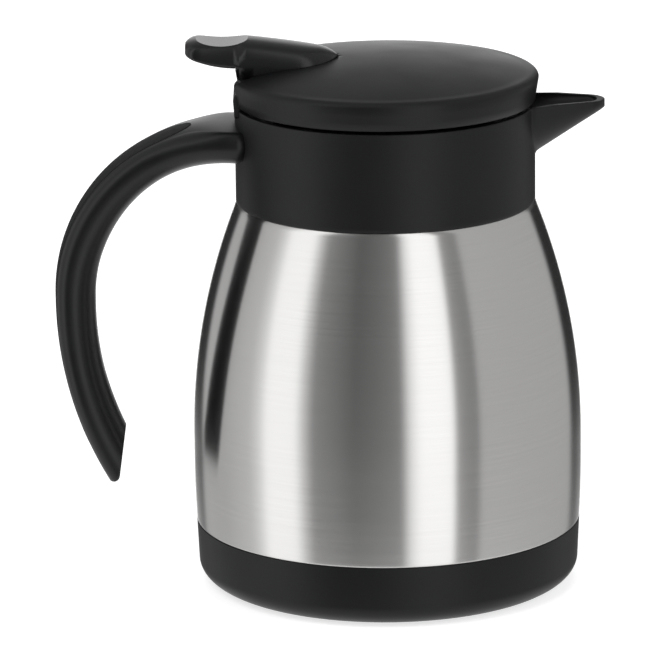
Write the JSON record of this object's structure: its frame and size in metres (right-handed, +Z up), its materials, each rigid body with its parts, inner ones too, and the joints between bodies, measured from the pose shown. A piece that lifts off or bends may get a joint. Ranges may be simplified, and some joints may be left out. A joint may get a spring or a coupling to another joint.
{
  "type": "thermal carafe",
  "caption": "Double-walled steel vacuum carafe with a dark base cup, collar, beak spout, open handle, hinged lid with plug and a thumb lever that lifts a pour valve.",
  "frame": {"origin": "centre of the base on the surface that the carafe stands on", "axes": "+Z up along the flask's axis, +X towards the spout, handle and hinge at -X, hinge and lever axes along Y"},
  "size_m": [0.1778, 0.1262, 0.18],
  "materials": {
    "steel": "brushed round the body",
    "bright_steel": "turned and drawn wire",
    "dark_plastic": "dark grey, satin",
    "lid_plastic": "dark grey, smooth and slightly glossy",
    "soft_grip": "soft and dull",
    "pad_rubber": "dull",
    "silicone": "translucent white",
    "valve_plastic": "mid grey, satin",
    "foam": "rigid foam"
  },
  "bodies": {
    "carafe": {"outer_shell": "steel", "inner_flask": "steel", "bottom_plate": "steel", "vacuum_seal": "steel", "base_cup": "dark_plastic", "base_pad": "pad_rubber", "collar": "dark_plastic", "neck_gasket": "silicone", "neck_ring": "dark_plastic", "handle": "dark_plastic", "handle_strip": "soft_grip", "handle_screws": "bright_steel", "hinge_pin": "bright_steel"},
    "lid": {"lid_cover": "lid_plastic", "lid_underplate": "dark_plastic", "lid_plug": "dark_plastic", "plug_gasket": "silicone", "lid_foam": "foam", "lid_screws": "bright_steel", "lever_pin": "bright_steel", "valve_spring": "bright_steel"},
    "lever": {"thumb_lever": "lid_plastic"},
    "valve": {"valve_stem": "valve_plastic", "valve_seal": "silicone", "stem_cap": "valve_plastic"}
  },
  "joints": [
    {"name": "lid_hinge", "type": "hinge", "parent": "carafe", "child": "lid", "pos_m": [-0.046, 0, 0.1613], "axis": [0, -1, 0], "range_deg": [0, 48]},
    {"name": "lever_pivot", "type": "hinge", "parent": "lid", "child": "lever", "pos_m": [-0.03, 0, 0.1658], "axis": [0, -1, 0], "range_deg": [0, 7], "stiffness_Nm_per_rad": 0.4, "springref_deg": -11.46},
    {"name": "valve_slide", "type": "slide", "parent": "lid", "child": "valve", "axis": [0, 0, 1], "range_m": [0, 0.0012], "deforming": ["valve_spring"]}
  ],
  "couplings": [
    {"joint": "valve_slide", "follows": "lever_pivot", "m_per_rad": 0.0092}
  ]
}
